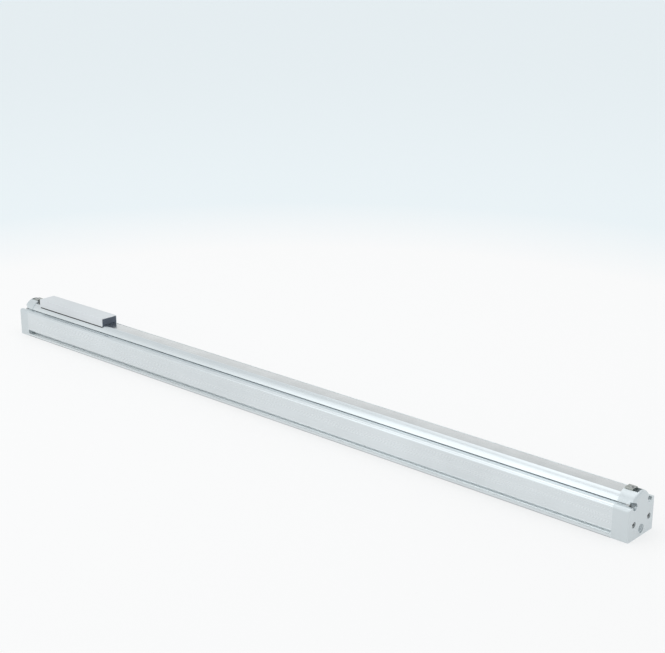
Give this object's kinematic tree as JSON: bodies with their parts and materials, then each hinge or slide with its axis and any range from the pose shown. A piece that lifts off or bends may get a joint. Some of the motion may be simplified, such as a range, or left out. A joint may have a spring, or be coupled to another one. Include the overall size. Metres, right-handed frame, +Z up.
{
  "type": "rodless pneumatic cylinder",
  "caption": "Slotted extruded cylinder barrel with sealing bands and end caps; a piston inside drives a narrow slider along its dome.",
  "frame": {"origin": "middle of the flat base, under the middle of the barrel's length", "axes": "+X along the barrel, away from the slider's rest stop; +Z up, from the base to the slider's top; -Y is the plain long side"},
  "size_m": [0.89, 0.044, 0.0491],
  "materials": {
    "barrel_anodised": "satin clear anodised extrusion",
    "cap_anodised": "satin clear anodised",
    "yoke_anodised": "satin clear anodised",
    "screw_steel": "zinc plated",
    "band_steel": "bright rolled strip",
    "clamp_steel": "grey steel",
    "plug_nickel": "nickel plated",
    "needle_brass": "turned brass",
    "turned_aluminium": "turned",
    "black_plastic": "fine matt moulded",
    "guide_plastic": "matt",
    "magnet_ferrite": "matt",
    "black_rubber": "matt rubber"
  },
  "bodies": {
    "barrel": {"profile_barrel": "barrel_anodised", "end_cap_left": "cap_anodised", "end_cap_right": "cap_anodised", "cap_seal_left": "black_rubber", "cap_seal_right": "black_rubber", "cushion_spigot_left": "turned_aluminium", "cushion_spigot_right": "turned_aluminium", "cap_screws_left": "screw_steel", "cap_screws_right": "screw_steel", "port_plug_left": "plug_nickel", "port_plug_right": "plug_nickel", "inner_band": "band_steel", "cover_band": "band_steel", "band_clamp_left": "clamp_steel", "band_clamp_right": "clamp_steel", "clamp_screw_left": "screw_steel", "clamp_screw_right": "screw_steel"},
    "slider": {"slider_yoke": "yoke_anodised", "slider_cover_left": "black_plastic", "slider_cover_right": "black_plastic", "wiper_left": "black_rubber", "wiper_right": "black_rubber", "band_guide_left": "black_plastic", "band_guide_right": "black_plastic", "slide_strip_front": "black_plastic", "slide_strip_rear": "black_plastic", "piston_driver": "turned_aluminium", "yoke_screws": "screw_steel", "piston_left": "turned_aluminium", "piston_right": "turned_aluminium", "piston_seal_left": "black_rubber", "piston_seal_right": "black_rubber", "guide_ring_left": "guide_plastic", "guide_ring_right": "guide_plastic", "piston_magnet_left": "magnet_ferrite", "piston_magnet_right": "magnet_ferrite", "cushion_seal_left": "black_rubber", "cushion_seal_right": "black_rubber"},
    "needle_left": {"cushion_needle_left": "needle_brass"},
    "needle_right": {"cushion_needle_right": "needle_brass"}
  },
  "joints": [
    {"name": "slider_slide", "type": "slide", "parent": "barrel", "child": "slider", "axis": [1, 0, 0], "range_m": [0, 0.705], "deforming": ["inner_band", "cover_band"]},
    {"name": "needle_left_turn", "type": "hinge", "parent": "barrel", "child": "needle_left", "pos_m": [-0.4317, 0.0215, 0.024], "axis": [0, 1, 0], "range_deg": [0, 1080]},
    {"name": "needle_right_turn", "type": "hinge", "parent": "barrel", "child": "needle_right", "pos_m": [0.4317, 0.0215, 0.024], "axis": [0, 1, 0], "range_deg": [0, 1080]}
  ]
}
